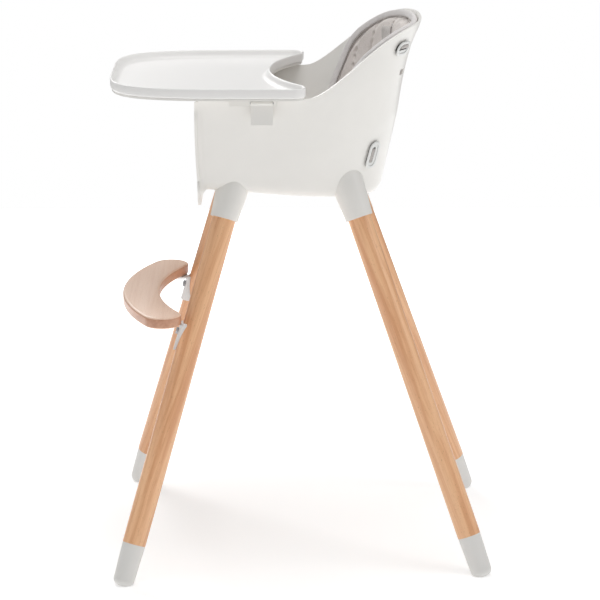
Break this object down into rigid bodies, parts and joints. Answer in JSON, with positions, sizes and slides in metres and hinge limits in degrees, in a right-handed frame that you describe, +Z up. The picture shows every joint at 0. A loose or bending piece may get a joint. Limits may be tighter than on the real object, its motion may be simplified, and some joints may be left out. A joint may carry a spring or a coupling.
{
  "type": "baby high chair",
  "caption": "High chair with a moulded bucket seat on splayed beech legs, with a removable tray, crescent footrest, padded liner and harness.",
  "frame": {"origin": "on the floor, in the middle of the chair's bounding box", "axes": "+Z up, the seated child faces -Y, +X is the child's left"},
  "size_m": [0.582, 0.6279, 0.8979],
  "materials": {
    "beech_leg": "clear satin lacquer over straight-grained beech",
    "beech_board": "clear satin lacquer over beech",
    "shell_plastic": "moulded polypropylene with a soft sheen",
    "socket_plastic": "moulded polypropylene with a soft sheen",
    "foot_plastic": "moulded, satin",
    "glide_rubber": "matt",
    "screw_steel": "dull zinc plate",
    "bracket_plastic": "moulded, satin",
    "tray_plastic": "smooth moulded, wipe-clean",
    "carrier_plastic": "moulded, satin",
    "post_plastic": "moulded, soft sheen",
    "pad_fabric": "light grey woven cover, quilted",
    "webbing": "woven polyester webbing",
    "anchor_plastic": "moulded, satin",
    "buckle_plastic": "moulded, satin",
    "button_plastic": "moulded, satin",
    "tongue_plastic": "moulded, satin"
  },
  "bodies": {
    "chair": {"seat_shell": "shell_plastic", "leg_socket_front_left": "socket_plastic", "leg_socket_front_right": "socket_plastic", "leg_socket_rear_left": "socket_plastic", "leg_socket_rear_right": "socket_plastic", "leg_front_left": "beech_leg", "leg_front_right": "beech_leg", "leg_rear_left": "beech_leg", "leg_rear_right": "beech_leg", "foot_front_left": "foot_plastic", "foot_front_right": "foot_plastic", "foot_rear_left": "foot_plastic", "foot_rear_right": "foot_plastic", "foot_glides": "glide_rubber", "leg_lock_screws": "screw_steel", "footrest_board": "beech_board", "footrest_bracket_left": "bracket_plastic", "footrest_bracket_right": "bracket_plastic", "bracket_bolts": "screw_steel", "footrest_screws": "screw_steel", "tray_rail_left": "shell_plastic", "tray_rail_right": "shell_plastic", "crotch_post": "post_plastic", "crotch_post_screws": "screw_steel", "seat_pad": "pad_fabric", "back_pad": "pad_fabric", "shoulder_strap_left": "webbing", "shoulder_strap_right": "webbing", "waist_strap_left": "webbing", "waist_strap_right": "webbing", "crotch_strap": "webbing", "shoulder_anchor_left": "anchor_plastic", "shoulder_anchor_right": "anchor_plastic", "waist_anchor_left": "anchor_plastic", "waist_anchor_right": "anchor_plastic", "crotch_anchor": "anchor_plastic", "buckle_body": "buckle_plastic", "buckle_tongue_left": "tongue_plastic", "buckle_tongue_right": "tongue_plastic"},
    "tray_carrier": {"tray_carrier": "carrier_plastic", "latch_pin_left": "screw_steel", "latch_pin_right": "screw_steel"},
    "feeding_tray": {"feeding_tray": "tray_plastic"},
    "latch_left": {"tray_latch_left": "carrier_plastic"},
    "latch_right": {"tray_latch_right": "carrier_plastic"},
    "buckle_button": {"buckle_button": "button_plastic"}
  },
  "joints": [
    {"name": "tray_slide", "type": "slide", "parent": "chair", "child": "tray_carrier", "axis": [0, -1, 0], "range_m": [0, 0.06]},
    {"name": "feeding_tray_lift", "type": "slide", "parent": "tray_carrier", "child": "feeding_tray", "axis": [0, 0, 1], "range_m": [0, 0.05]},
    {"name": "latch_left_hinge", "type": "hinge", "parent": "tray_carrier", "child": "latch_left", "pos_m": [0.1805, -0.064, 0.7815], "axis": [0, -1, 0], "range_deg": [0, 12], "stiffness_Nm_per_rad": 0.3},
    {"name": "latch_right_hinge", "type": "hinge", "parent": "tray_carrier", "child": "latch_right", "pos_m": [-0.1805, -0.064, 0.7815], "axis": [0, 1, 0], "range_deg": [0, 12], "stiffness_Nm_per_rad": 0.3},
    {"name": "buckle_button_press", "type": "slide", "parent": "chair", "child": "buckle_button", "axis": [0, -0.0896, -0.996], "range_m": [0, 0.0025], "stiffness_N_per_m": 400}
  ]
}
